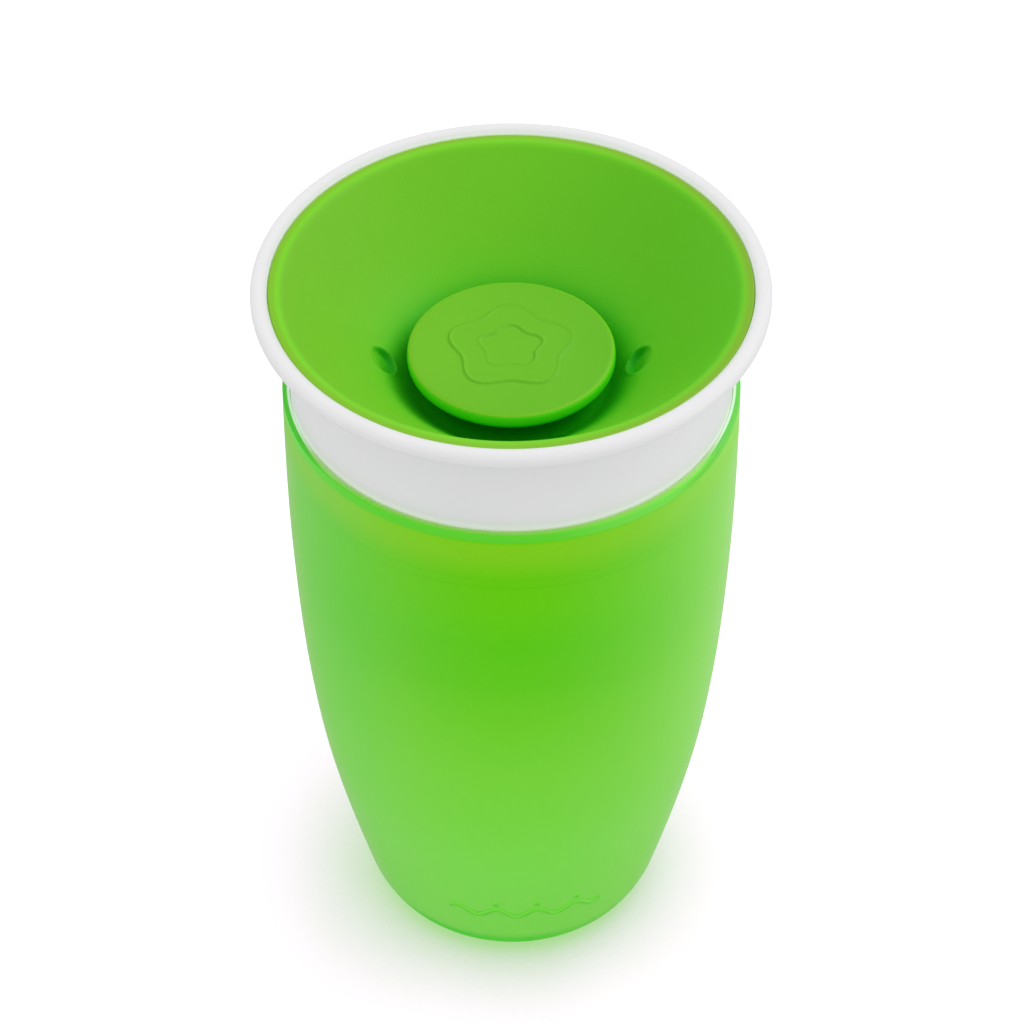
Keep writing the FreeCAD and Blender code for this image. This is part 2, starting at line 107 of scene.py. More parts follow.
def rounded(path, closed=True, steps=4):
    """Turns each corner that has a fillet into an arc of steps + 1 points."""
    corners = [(*p, 0.0)[:3] for p in path]
    count = len(corners)
    points = []
    for i, (x, z, fillet) in enumerate(corners):
        if fillet <= 0 or (not closed and i in (0, count - 1)):
            points.append((x, z))
            continue
        before, after = corners[i - 1], corners[(i + 1) % count]
        back = Vector((before[0] - x, before[1] - z))
        ahead = Vector((after[0] - x, after[1] - z))
        back_length, ahead_length = back.length, ahead.length
        back.normalize()
        ahead.normalize()
        angle = math.acos(max(-1.0, min(1.0, back.dot(ahead))))
        if angle > math.pi - 0.02:      # practically straight
            points.append((x, z))
            continue
        cut = min(fillet / math.tan(angle / 2), 0.48 * back_length, 0.48 * ahead_length)
        fillet = cut * math.tan(angle / 2)
        corner = Vector((x, z))
        centre = corner + (back + ahead).normalized() * (fillet / math.sin(angle / 2))
        from_centre = corner + back * cut - centre
        to_centre = corner + ahead * cut - centre
        start = math.atan2(from_centre.y, from_centre.x)
        end = math.atan2(to_centre.y, to_centre.x)
        turn = (end - start + math.pi) % TAU - math.pi
        for s in range(steps + 1):
            a = start + turn * s / steps
            points.append((centre.x + fillet * math.cos(a), centre.y + fillet * math.sin(a)))
    return points


def dense(path, step, closed=False, z_range=EVERYWHERE, r_range=EVERYWHERE):
    """Adds points so that no edge touching the given window is longer than step."""
    points = []
    for a, b in zip(path, path[1:] + path[:1] if closed else path[1:]):
        points.append(a)
        if (max(a[1], b[1]) >= z_range[0] and min(a[1], b[1]) <= z_range[1]
                and max(a[0], b[0]) >= r_range[0] and min(a[0], b[0]) <= r_range[1]):
            parts = int(math.ceil(math.hypot(b[0] - a[0], b[1] - a[1]) / step - 1e-9))
            for j in range(1, parts):
                points.append((a[0] + (b[0] - a[0]) * j / parts, a[1] + (b[1] - a[1]) * j / parts))
    if not closed:
        points.append(path[-1])
    clean = [points[0]]
    for p in points[1:]:
        if math.dist(p, clean[-1]) > 1e-4:
            clean.append(p)
    if closed and math.dist(clean[0], clean[-1]) < 1e-4:
        clean.pop()
    return clean


def angles(base_step, windows=()):
    """Degrees round the axis; each window (centre, half width, step) is sampled finer."""
    marks = [i * base_step for i in range(int(round(360 / base_step)))]
    keep = [a for a in marks
            if all(abs((a - centre + 180) % 360 - 180) > half for centre, half, _ in windows)]
    for centre, half, step in windows:
        parts = int(round(2 * half / step))
        keep += [(centre - half + 2 * half * i / parts) % 360 for i in range(parts + 1)]
    keep.sort()
    clean = [keep[0]]
    for a in keep[1:]:
        if a - clean[-1] > 0.05:
            clean.append(a)
    return clean


# ---------------------------------------------------------------- mesh making
def shade_smooth(mesh):
    for polygon in mesh.polygons:
        polygon.use_smooth = True


def smooth_object(name, verts, faces):
    mesh = bpy.data.meshes.new(name)
    mesh.from_pydata([(x * MM, y * MM, z * MM) for x, y, z in verts], [], faces)
    mesh.validate()
    obj = bpy.data.objects.new(name, mesh)
    bpy.context.scene.collection.objects.link(obj)
    bm = bmesh.new()
    bm.from_mesh(mesh)
    bmesh.ops.recalc_face_normals(bm, faces=bm.faces)
    bm.to_mesh(mesh)
    bm.free()
    shade_smooth(mesh)
    return obj


def lathe(name, profile, degrees, closed=True, move=None):
    """Turns a profile about Z. An open profile starts and ends on the axis.
    move(r, z, theta, normal) returns how far the point goes along its own normal."""
    count, turns = len(profile), len(degrees)
    normals = []
    area = 0.0
    for i, here in enumerate(profile):
        after = profile[(i + 1) % count]
        area += here[0] * after[1] - after[0] * here[1]
        before = profile[i - 1]
        if not closed:
            before, after = profile[max(i - 1, 0)], profile[min(i + 1, count - 1)]
        dr, dz = after[0] - before[0], after[1] - before[1]
        length = math.hypot(dr, dz) or 1.0
        normals.append((dz / length, -dr / length))
    if area < 0:
        normals = [(-nr, -nz) for nr, nz in normals]
    verts, rows, faces = [], [], []
    for (r, z), normal in zip(profile, normals):
        if r < 1e-6:
            rows.append([len(verts)] * turns)
            verts.append((0.0, 0.0, z))
            continue
        rows.append(range(len(verts), len(verts) + turns))
        for degree in degrees:
            theta = math.radians(degree)
            height = move(r, z, theta, normal) if move else 0.0
            moved_r = r + normal[0] * height
            verts.append((moved_r * math.cos(theta), moved_r * math.sin(theta),
                          z + normal[1] * height))
    for i in range(count if closed else count - 1):
        a, b = rows[i], rows[(i + 1) % count]
        for j in range(turns):
            k = (j + 1) % turns
            face = list(dict.fromkeys([a[j], b[j], b[k], a[k]]))
            if len(face) >= 3:
                faces.append(face)
    return smooth_object(name, verts, faces)


def apply_boolean(base, tools, operation, sharp_degrees):
    """Joins the tools to the base or cuts them out of it, and marks edges above the angle sharp."""
    for tool in tools:
        mod = base.modifiers.new("boolean", "BOOLEAN")
        mod.operation = operation
        mod.solver = "EXACT"
        mod.object = tool
    bpy.context.view_layer.update()
    depsgraph = bpy.context.evaluated_depsgraph_get()
    mesh = bpy.data.meshes.new_from_object(base.evaluated_get(depsgraph))
    base.modifiers.clear()
    base.data = mesh
    for tool in tools:
        bpy.data.objects.remove(tool)
    shade_smooth(mesh)
    mesh.set_sharp_from_angle(angle=math.radians(sharp_degrees))


def smoothstep(e0, e1, x):
    t = min(max((x - e0) / (e1 - e0), 0.0), 1.0)
    return t * t * (3 - 2 * t)


# three-start helical ridges inside the cup and outside the collar's skirt
RIDGE_LEAD = 12.0               # rise per full turn
RIDGE_RISE = 4.8                # rise of one ridge from end to end
RIDGE_HEIGHT = 1.05
RIDGE_BASE, RIDGE_CREST = 0.9, 0.45         # half widths
RIDGE_FADE = 9                  # degrees over which each end runs out


def ridge_height(theta, z, start_z):
    best = 0.0
    span = 360.0 * RIDGE_RISE / RIDGE_LEAD
    for k in range(3):
        phi = (math.degrees(theta) - 120.0 * k) % 360.0
        if phi > span:
            continue
        off = abs(z - (start_z + RIDGE_LEAD * phi / 360.0))
        side = 1.0 - smoothstep(RIDGE_CREST, RIDGE_BASE, off)
        ends = smoothstep(0, RIDGE_FADE, phi) * smoothstep(0, RIDGE_FADE, span - phi)
        best = max(best, side * ends)
    return RIDGE_HEIGHT * best


# ---------------------------------------------------------- cup: frosted wall
MARK_RELIEF = 0.27
MARK_R = 27.2                   # wall radius at the mark
MARK_SHIFT = 2.3                # how far its middle lies to the right of the front
WAVE_LENGTH, WAVE_SWING = 6.8, 0.95
WAVE_Z, DOT_Z = 14.3, 17.35     # above the foot
CUP_RIDGE_R = 34.4              # inner wall that carries the ridges
CUP_RIDGE_START = 99.0


def wave_mark(theta, z):
    """Raised decoration low on the front: one wavy line, four waves long, with three dots."""
    turn = (math.degrees(theta) + 90.0 + 180.0) % 360.0 - 180.0     # 0 at the front
    s = math.radians(turn) * MARK_R - MARK_SHIFT                    # distance along the wall
    phase = s * TAU / WAVE_LENGTH
    slope = WAVE_SWING * TAU / WAVE_LENGTH * math.cos(phase)
    off = abs(z - (WAVE_Z + WAVE_SWING * math.sin(phase))) / math.sqrt(1 + slope * slope)
    height = (1 - smoothstep(0.22, 0.62, off)) * smoothstep(0.0, 0.5, 2 * WAVE_LENGTH - abs(s))
    for k in (-1, 0, 1):
        off = math.hypot(s - k * WAVE_LENGTH - WAVE_LENGTH / 4, z - DOT_Z)
        height = max(height, 1 - smoothstep(0.3, 0.72, off))
    return MARK_RELIEF * height


def build_cup():
    # from the axis out under the recessed base, round the foot and up the wall
    outer = lift(CUP_FOOT, [(0.0, 1.0), (13.2, 1.0), (14.0, 1.0), (14.25, 0.93), (14.75, 0.25),
                            (15.1, 0.03), (15.5, 0.0)])
    outer += spline(lift(CUP_FOOT, [(18.25, 0.0), (19.9, 0.0), (23.2, 1.84), (24.965, 6.376),
                                    (25.2, 7.15)]), 16)
    wall = spline(lift(CUP_FOOT, [(25.2, 7.15), (31.02, 27.92), (34.19, 48.69), (35.79, 69.46),
                                  (36.74, 90.23)]) + [(CUP_R, CUP_RIM)], 90)[1:-1]
    outer += [p for p in wall if p[1] < CUP_RIM - 0.9]
    outer = dense(outer, 0.22, z_range=(CUP_FOOT + 10.2, CUP_FOOT + 19.5),
                  r_range=(24.0, math.inf))
    rim = lift(CUP_RIM, [(CUP_R - 0.02, -0.9), (CUP_R, 0.0, 0.26), (35.55, 0.0, 0.16),
                         (35.55, -3.5, 0.15), (CUP_RIDGE_R, -3.5, 0.25),
                         (CUP_RIDGE_R, -14.0, 1.0)])
    rim = rounded(rim + [(34.3, CUP_FOOT + 96.67)], closed=False, steps=5)
    rim = dense(rim, 0.2, z_range=(CUP_FOOT + 97.6, CUP_FOOT + 107.0))
    inner = spline(lift(CUP_FOOT, [(34.3, 96.67), (34.28, 78.97), (33.27, 61.26), (31.6, 43.55),
                                   (28.45, 25.84), (23.5, 8.13)]), 40)[1:]
    floor = spline(lift(CUP_FOOT, [(23.5, 8.13), (23.08, 6.63), (21.9, 3.4), (17.6, 3.4)]), 12)[1:]
    floor += lift(CUP_FOOT, [(12.0, 3.4), (6.0, 3.4), (0.0, 3.4)])

    def move(r, z, theta, normal):
        if normal[0] > 0.3 and z < CUP_FOOT + 21:
            return wave_mark(theta, z - CUP_FOOT)
        if normal[0] < -0.5 and abs(r - CUP_RIDGE_R) < 0.03:
            return ridge_height(theta, z - CUP_FOOT, CUP_RIDGE_START)
        return 0.0

    cup = lathe("cup_shell", outer + rim + inner + floor, angles(1.8, [(270, 40.5, 0.45)]),
                closed=False, move=move)
    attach(cup, "cup")
    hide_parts("cup_body")
    return cup


# ------------------------------------------------ collar: lip, band and skirt
LIP_ROLL = 1.35                 # radius of the lip's outer rounding
SKIRT_R = 33.1
SKIRT_BORE = 31.15
COLLAR_RIDGE_START = 2.1        # above the skirt's foot


def build_collar():
    roll_r, roll_z = LIP_R - LIP_ROLL, LIP_TOP - LIP_ROLL
    # skirt and band, outside, going up
    path = rounded(lift(COLLAR_FOOT, [
        (SKIRT_BORE, 1.0), (SKIRT_R, 0.0, 0.5), (SKIRT_R, 10.3, 0.2), (35.45, 10.3, 0.35),
        (35.45, 13.3, 1.0), (35.5, 14.5, 1.0), (35.5, 24.7)]), closed=False)[1:]
    # flare under the lip, its rolled edge, and over the top
    path += spline(lift(LIP_TOP, [(35.5, -7.8), (35.5, -5.5), (36.55, -3.5), (38.55, -3.55),
                                  (39.75, -3.15)]), 22)
    path += spline(lift(LIP_TOP, [(39.75, -3.15), (40.75, -2.82), (LIP_R, -2.4),
                                  (LIP_R, -1.7)]), 12)[1:]
    for i in range(14):
        a = math.radians(90 * i / 13)
        path.append((roll_r + LIP_ROLL * math.cos(a), roll_z + LIP_ROLL * math.sin(a)))
    path += spline(lift(LIP_TOP, [(roll_r, 0.0), (roll_r - 0.5, 0.0), (38.85, -0.25),
                                  (38.56, -0.62)]), 12)[1:]
    path += spline(lift(LIP_TOP, [(38.56, -0.62), (38.5, -0.70), (38.5, -0.75),
                                  (38.5, -0.85)]), 5)[1:]
    # inside, going down to the skirt's foot
    inside = lift(LIP_TOP, [
        (38.5, -1.4), (38.5, -2.5, 0.2), (36.6, -2.5, 0.35), (33.3, -7.6, 2.0),
        (33.3, -19.2, 1.2), (30.3, -23.1, 0.8), (30.3, -26.4, 0.2), (SKIRT_BORE, -26.4, 0.12),
        (SKIRT_BORE, -30.05, 0.15), (30.8, -30.5, 0.2), (SKIRT_BORE, -31.05, 0.15)])
    inside += [(SKIRT_BORE, COLLAR_FOOT, 0.35), (SKIRT_R, COLLAR_FOOT)]
    path += rounded(inside, closed=False)[1:-1]
    path = dense(path, 0.2, closed=True, z_range=(COLLAR_FOOT + 0.9, COLLAR_FOOT + 8.0),
                 r_range=(SKIRT_R - 0.05, SKIRT_R + 0.05))
    path = dense(path, 1.2, closed=True)

    def move(r, z, theta, normal):
        if normal[0] > 0.9 and abs(r - SKIRT_R) < 0.02:
            return ridge_height(theta, z - COLLAR_FOOT, COLLAR_RIDGE_START)
        return 0.0

    collar = lathe("lip_collar", path, angles(1.25), move=move)
    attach(collar, "collar")
    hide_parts("lid_collar")
    return collar


def build_gasket():
    """Flat ring with a shallow groove round its outside."""
    bore = 33.15
    middle = (GASKET_FOOT + GASKET_TOP) / 2
    path = rounded([(bore, GASKET_FOOT, 0.3), (GASKET_R, GASKET_FOOT, 0.4),
                    (GASKET_R, middle - 0.2, 0.1), (GASKET_R - 0.18, middle, 0.15),
                    (GASKET_R, middle + 0.2, 0.1), (GASKET_R, GASKET_TOP, 0.4),
                    (bore, GASKET_TOP, 0.3)], steps=3)
    ring = lathe("seal_ring", path, angles(2.0))
    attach(ring, "gasket")
    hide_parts("collar_gasket")
    return ring


# --------------------------------------------------- carrier: ring, hub, spokes
SPOKE_STATIONS = [7.0, 7.6, 8.2, 8.8, 9.6, 10.6, 12.0, 16.0, 20.0, 24.0, 26.2, 27.4, 28.2, 28.9,
                  29.6]         # radii


def build_spoke(index):
    """One of six spokes, wider where it meets the hub and the ring."""
    section = rounded(lift(CARRIER_FOOT, [(-1.1, 0.0, 0.25), (1.1, 0.0, 0.25),
                                          (0.85, 2.75, 0.45), (-0.85, 2.75, 0.45)]), steps=3)
    count = len(section)
    theta = math.radians(90 + 60 * index)
    verts, faces, rows = [], [], []
    for r in SPOKE_STATIONS:
        flare = 1.0 + 0.9 * (1 - smoothstep(8.4, 11.5, r)) + 0.9 * smoothstep(26.0, 29.2, r)
        rows.append([len(verts) + i for i in range(count)])
        for y, z in section:
            y *= flare
            verts.append((r * math.cos(theta) - y * math.sin(theta),
                          r * math.sin(theta) + y * math.cos(theta), z))
    for a, b in zip(rows[:-1], rows[1:]):
        for i in range(count):
            j = (i + 1) % count
            faces.append([a[i], a[j], b[j], b[i]])
    faces += [rows[0], rows[-1][::-1]]
    return smooth_object("support_spoke_%d" % index, verts, faces)


def build_support():
    ring_bore, ring_top = 28.8, CARRIER_FOOT + 3.5
    hub_bore = 5.47
    carrier = lathe("support_ring", rounded([
        (ring_bore, CARRIER_FOOT, 0.3), (CARRIER_R, CARRIER_FOOT, 0.35),
        (CARRIER_R, ring_top, 0.35), (ring_bore, ring_top, 0.5)]), angles(2.0))
    hub = lathe("support_hub", rounded([
        (hub_bore, CARRIER_FOOT, 0.4), (8.6, CARRIER_FOOT, 0.4), (8.0, CARRIER_TOP, 0.7),
        (hub_bore, CARRIER_TOP, 0.3)]), angles(3.0))
    apply_boolean(carrier, [hub] + [build_spoke(k) for k in range(6)], "UNION", sharp_degrees=35)
    carrier.name = "valve_carrier"
    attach(carrier, "collar")
    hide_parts("valve_support")
    return carrier


# ------------------------------------------------------- disc: funnel + vents
SLOPE_TOP, SLOPE_FOOT = (25.0, -11.6), (18.3, -17.4)    # (r, z below the disc's top)
SLOPE = math.atan2(SLOPE_TOP[1] - SLOPE_FOOT[1], SLOPE_TOP[0] - SLOPE_FOOT[0])
VENT_R, VENT_AT = 2.62, 20.55   # radius of a vent and its distance from the axis
VENT_Z = DISC_TOP - 15.52


def vent_place(x, y, z):
    """Distance up the slope from the vent's centre, and distance from it on the slope."""
    along = (x - VENT_AT) * math.cos(SLOPE) + (z - VENT_Z) * math.sin(SLOPE)
    return along, math.hypot(along, y)


def vent_relief(r, z, theta, normal):
    """Two round dimples in the slope, left and right, steeper on the side towards the axis."""
    if not (normal[1] > 0.3 and 16.5 < r < 25.5):
        return 0.0
    y = r * math.sin(theta)
    along, rho = vent_place(abs(r * math.cos(theta)), y, z)
    if rho > 4.4:
        return 0.0
    inner = smoothstep(1.6, -1.6, along)                # 1 on the knob's side
    lip = 0.12 * math.exp(-((rho - VENT_R - 0.22) / 0.38) ** 2) * (0.30 + 0.70 * inner)
    tilt = 0.07 + 0.93 * smoothstep(2.4, -1.7, along - 0.35 * y)
    wall = 0.95 - 0.45 * inner
    bowl = -0.95 * tilt * (1 - smoothstep(VENT_R - wall, VENT_R + 0.12, rho))
    to_slit = math.hypot(along + 0.5, max(abs(y) - 0.7, 0.0))
    slit = -0.03 * (1 - smoothstep(0.10, 0.30, to_slit))
    return lip + bowl + slit


def pocket_shade(co):
    """Painted shade for the vents: how deep a vertex sits against the steep wall of its vent, 0 to
    1.
    """
    x, y, z = abs(co.x) / MM, co.y / MM, co.z / MM
    along, rho = vent_place(x, y, z)
    if z > VENT_Z - 4.5 and rho < 4.0 and z > DISC_FOOT + 2.0:
        near = math.exp(-((rho - VENT_R + 0.20) / 0.33) ** 2)
        return near * smoothstep(2.1, -0.5, along - 0.9 * y)
    return 0.0


def build_disc():
    # underside from the bore outwards, round the rim's bead, then back down the upper face
    path = lift(DISC_FOOT, [(4.4, 0.15), (4.55, 0.0), (8.5, 0.0)])
    path += spline(lift(DISC_FOOT, [(12.6, 0.0), (15.4, 0.0), (16.9, 1.05), (18.6, 2.55)]), 9)
    path += lift(DISC_FOOT, [(25.9, 9.1), (30.9, 14.0)])
    path += spline(lift(DISC_TOP, [(36.05, -1.75), (36.25, -1.6), (36.5, -1.6), (36.9, -1.6)]), 6)
    path += lift(DISC_TOP, [(38.15, -1.6), (38.33, -1.53), (38.4, -1.35)])
    path += spline(lift(DISC_TOP, [(38.4, -0.4), (38.4, -0.12), (38.28, 0.0), (38.0, 0.0)]), 8)
    path += spline(lift(DISC_TOP, [(37.6, 0.0), (37.05, 0.0), (36.5, -0.1), (36.1, -0.36),
                                   (35.75, -0.68)]), 14)
    # the slope is one gently hollow curve
    face = lift(DISC_TOP, [(35.75, -0.68), (33.2, -3.3), (30.0, -6.65), (27.4, -9.25), SLOPE_TOP,
                           (21.8, -14.35), SLOPE_FOOT])
    path += dense(spline(face, 40)[1:], 0.24, r_range=(17.0, 24.8))
    path += spline([face[-1]] + lift(DISC_FOOT, [(16.9, 3.0), (15.4, 1.6), (14.0, 1.6),
                                                 (12.0, 1.6)]), 12)[1:]
    path += lift(DISC_FOOT, [(9.0, 1.6), (4.6, 1.6), (4.4, 1.4)])
    path = dense(path, 1.0, closed=True)

    disc = lathe("funnel_disc", path, angles(1.5, [(0.0, 13.0, 0.5), (180.0, 13.0, 0.5)]),
                 move=vent_relief)
    pocket = [pocket_shade(v.co) for v in disc.data.vertices]
    disc.data.attributes.new("pocket", "FLOAT", "POINT").data.foreach_set("value", pocket)
    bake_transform(disc)
    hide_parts("valve_disc")
    return disc


# -------------------------------------------------------------- knob with mark
MARK_Y = 0.2                    # the flower's centre, off the axis
FLOWERS = [(9.2, 0.11), (4.7, 0.12)]    # outer and inner outline: mean radius, lobe depth
FLOWER_EDGE = 0.27              # half width of the band's soft edges
BEAD_HEIGHT, BEAD_WIDTH = 0.19, 0.26
BAND_HEIGHT = 0.15
SLOT_WIDTH, SLOT_DEPTH = 1.2, 5.5       # crossed slots in the plug
SLOT_TOOL_LENGTH, SLOT_TOOL_HEIGHT = 14, 7.0


def knob_mark(x, y):
    """Raised flower: a band between two five-lobed outlines, with a fine bead on each."""
    rho, theta = math.hypot(x, y - MARK_Y), math.atan2(y - MARK_Y, x)
    lobe = math.cos(5 * (theta - math.pi / 2))
    outer, inner = [rho - radius * (1.0 + depth * lobe) for radius, depth in FLOWERS]
    height = BAND_HEIGHT * (smoothstep(-FLOWER_EDGE, FLOWER_EDGE, inner)
                            - smoothstep(-FLOWER_EDGE, FLOWER_EDGE, outer))
    for off in (outer, inner):
        height += BEAD_HEIGHT * math.exp(-(off / BEAD_WIDTH) ** 2)
    return height


def build_knob():
    # blind hole, plug and neck, then out under the cap and round its edge
    path = rounded([
        (0.0, KNOB_TOP - 10.4), (3.1, KNOB_TOP - 10.4, 0.3), (3.1, PLUG_FOOT, 0.25),
        (4.8, PLUG_FOOT, 0.2), (5.4, PLUG_FOOT + 0.9, 0.3), (5.4, KNOB_TOP - 9.0, 0.15),
        (4.32, KNOB_TOP - 9.0, 0.1), (4.32, KNOB_TOP - 6.05, 0.1), (9.0, KNOB_TOP - 6.05)],
        closed=False, steps=3)
    path += spline(lift(KNOB_TOP, [(9.0, -6.05), (9.7, -5.45), (9.8, -3.8), (10.5, -3.2),
                                   (12.2, -3.1)]), 12)[1:]
    path += spline(lift(KNOB_TOP, [(15.1, -2.95), (16.2, -2.9), (KNOB_R, -2.45),
                                   (KNOB_R, -1.6)]), 10)
    path += spline(lift(KNOB_TOP, [(KNOB_R - 0.03, -0.95), (KNOB_R - 0.06, -0.32),
                                   (KNOB_R - 0.42, -0.02), (KNOB_R - 1.1, 0.0)]), 10)
    top = [(r, KNOB_TOP) for r in (KNOB_R - 1.1, 12.0, 2.2, 0.0)]
    path = dense(path, 0.8) + dense(top, 0.14, r_range=(3.2, 11.0))[1:]

    def move(r, z, theta, normal):
        if normal[1] > 0.9 and z > KNOB_TOP - 0.01 and r < 12.5:
            return knob_mark(r * math.cos(theta), r * math.sin(theta))
        return 0.0

    knob = lathe("pull_knob", path, angles(0.9), closed=False, move=move)
    cutters = []
    for i, (size_x, size_y) in enumerate([(SLOT_TOOL_LENGTH, SLOT_WIDTH),
                                          (SLOT_WIDTH, SLOT_TOOL_LENGTH)]):
        bpy.ops.mesh.primitive_cube_add(size=1)
        cutter = bpy.context.object
        cutter.name = "slot_tool_%d" % i
        cutter.dimensions = (size_x * MM, size_y * MM, SLOT_TOOL_HEIGHT * MM)
        cutter.location = (0, 0, (PLUG_FOOT + SLOT_DEPTH - SLOT_TOOL_HEIGHT / 2) * MM)
        cutters.append(cutter)
    apply_boolean(knob, cutters, "DIFFERENCE", sharp_degrees=40)
    for edge in knob.data.edges:                    # only the plug and neck keep crisp edges
        if knob.data.vertices[edge.vertices[0]].co.z > (KNOB_TOP - 3.0) * MM:
            edge.use_edge_sharp = False
    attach(knob, "knob")
    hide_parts("centre_knob")
    return knob


def edge_attribute(obj):
    """Stores how convex each vertex is: 0.5 is flat, more is an outer edge, less a hollow."""
    mesh = obj.data
    count = len(mesh.vertices)
    places = np.empty(count * 3, dtype=np.float32)
    normals = np.empty(count * 3, dtype=np.float32)
    mesh.vertices.foreach_get("co", places)
    mesh.vertices.foreach_get("normal", normals)
    places, normals = places.reshape(-1, 3), normals.reshape(-1, 3)
    ends = np.empty(len(mesh.edges) * 2, dtype=np.int32)
    mesh.edges.foreach_get("vertices", ends)
    ends = ends.reshape(-1, 2)
    along = places[ends[:, 1]] - places[ends[:, 0]]
    along /= np.maximum(np.linalg.norm(along, axis=1), 1e-9)[:, None]
    mean, valence = np.zeros((count, 3)), np.zeros(count)
    for end, sign in ((0, 1.0), (1, -1.0)):
        np.add.at(mean, ends[:, end], along * sign)
        np.add.at(valence, ends[:, end], 1.0)
    mean /= np.maximum(valence, 1.0)[:, None]
    value = np.arccos(np.clip((normals * mean).sum(axis=1), -1.0, 1.0)) / math.pi
    total = value.copy()            # averaged with the neighbours
    np.add.at(total, ends[:, 0], value[ends[:, 1]])
    np.add.at(total, ends[:, 1], value[ends[:, 0]])
    value = total / (valence + 1.0)
    mesh.attributes.new("edge", "FLOAT", "POINT").data.foreach_set(
        "value", value.astype(np.float32))


cup = build_cup()
collar = build_collar()
gasket = build_gasket()
carrier = build_support()
disc = build_disc()
knob = build_knob()
for piece in (cup, collar, gasket, carrier, disc, knob):
    edge_attribute(piece)


# ------------------------------------------------------------------ materials
class Graph:
    """Short ways to add shader nodes; a value may be a number, a colour or an output socket."""

    def __init__(self, block, space="Object"):
        self.block, self.tree = block, block.node_tree
        self.coords = self.node("ShaderNodeTexCoord").outputs[space]

    def node(self, kind, inputs=None, **settings):
        node = self.tree.nodes.new(kind)
        for key, value in settings.items():
            setattr(node, key, value)
        for key, value in (inputs or {}).items():
            if hasattr(value, "is_linked"):
                self.tree.links.new(value, node.inputs[key])
            else:
                node.inputs[key].default_value = value
        return node

    def math(self, operation, a, b=0.0):
        return self.node("ShaderNodeMath", {0: a, 1: b}, operation=operation).outputs[0]

    def times(self, first, *others):
        for other in others:
            first = self.math("MULTIPLY", first, other)
        return first

    def mix(self, share, a, b, blend="MIX"):
        return self.node("ShaderNodeMix", {0: share, 6: a, 7: b},
                         data_type="RGBA", blend_type=blend).outputs[2]

    def ramp(self, value, stops):
        node = self.node("ShaderNodeValToRGB", {0: value})
        elements = node.color_ramp.elements
        while len(elements) < len(stops):
            elements.new(0.5)
        for element, (place, colour) in zip(elements, stops):
            element.position = place
            element.color = (*colour, 1.0)
        return node.outputs[0]

    def remap(self, value, over, to=(0.0, 1.0), smooth=True):
        return self.node(
            "ShaderNodeMapRange",
            {"Value": value, "From Min": over[0], "From Max": over[1], "To Min": to[0],
             "To Max": to[1]},
            interpolation_type="SMOOTHSTEP" if smooth else "LINEAR", clamp=True).outputs[0]

    def split(self):
        return self.node("ShaderNodeSeparateXYZ", {0: self.coords}).outputs

    def axis(self, parts, index):
        """One coordinate in millimetres."""
        return self.math("DIVIDE", parts[index], MM)

    def radius(self, parts):
        """Distance from the Z axis in millimetres."""
        squares = [self.times(parts[i], parts[i]) for i in (0, 1)]
        return self.math("DIVIDE", self.math("SQRT", self.math("ADD", *squares)), MM)

    def attribute(self, name="edge"):
        return self.node("ShaderNodeAttribute", attribute_name=name).outputs["Fac"]

    def noise(self, scale, detail, rough=0.5):
        return self.node("ShaderNodeTexNoise", {"Vector": self.coords, "Scale": scale,
                                                "Detail": detail, "Roughness": rough}).outputs[0]

    def occlusion(self, samples, distance):
        return self.node("ShaderNodeAmbientOcclusion", {"Distance": distance},
                         samples=samples).outputs["AO"]

    def bump(self, layers, distance):
        """Chains bump layers of (height, strength)."""
        normal = None
        for height, strength in layers:
            inputs = {"Strength": strength, "Distance": distance, "Height": height}
            if normal is not None:
                inputs["Normal"] = normal
            normal = self.node("ShaderNodeBump", inputs).outputs[0]
        return normal

    def principled(self, inputs):
        return self.node("ShaderNodeBsdfPrincipled", inputs).outputs[0]

    def mix_shader(self, share, a, b):
        return self.node("ShaderNodeMixShader", {0: share, 1: a, 2: b}).outputs[0]

    def finish(self, shader):
        self.node("ShaderNodeOutputMaterial", {0: shader})
        return self.block


def material_graph(name):
    material = bpy.data.materials.new(name)
    material.use_nodes = True
    material.node_tree.nodes.clear()
    return Graph(material)


FADE = (1.0, 0.0)               # a remap that falls instead of rising

# cup wall colour from the foot to just above the rim: (share of the height, colour)
CUP_HEIGHT_SPAN = (0, 112)
CUP_GREENS = [
    (0.00, (0.255, 0.93, 0.082)), (0.25, (0.255, 0.92, 0.077)), (0.37, (0.252, 0.88, 0.050)),
    (0.49, (0.245, 0.84, 0.032)), (0.61, (0.205, 0.80, 0.010)), (0.69, (0.155, 0.76, 0.0)),
    (0.77, (0.142, 0.755, 0.0)), (0.85, (0.175, 0.77, 0.0)), (1.0, (0.20, 0.77, 0.002))]
# painted sheen: the wall turns paler where it is seen at a slant, standing in for light through the
# wall and the white room reflected at grazing angles
OBLIQUE_SHEEN_GREEN, GRAZING_SHEEN_GREEN = (0.40, 0.84, 0.19, 1), (0.47, 0.82, 0.30, 1)
# painted shade: the left flank, away from the key light, is tinted cooler
LEFT_SHADE_TINT = (0.82, 1.0, 0.96, 1)
# band at the rim, more saturated green: seen square on, seen obliquely (a painted sheen), right
# side and the right flank's tint (painted light from the key on the right)
BAND_FRONT, BAND_OBLIQUE_SHEEN = (0.150, 0.82, 0.055, 1), (0.21, 0.90, 0.10, 1)
BAND_LIT_RIGHT, BAND_FLANK_LIGHT_TINT = (0.27, 0.91, 0.14, 1), (0.76, 0.81, 0.50, 1)
# wall in front of the white skirt, painted paler and yellower as light from the skirt behind, and
# the fine darker lines on it, painted shade where the skirt's lower end shows through: (z, half
# width, strength)
SKIRT_GLOW_FRONT, SKIRT_GLOW_OBLIQUE = (0.33, 0.80, 0.022, 1), (0.38, 0.82, 0.115, 1)
LINE_GREEN = (0.06, 0.55, 0.0, 1)
SKIRT_EDGE_SHADE_LINES = [(101.45, 0.28, 0.10), (99.7, 0.32, 0.13)]
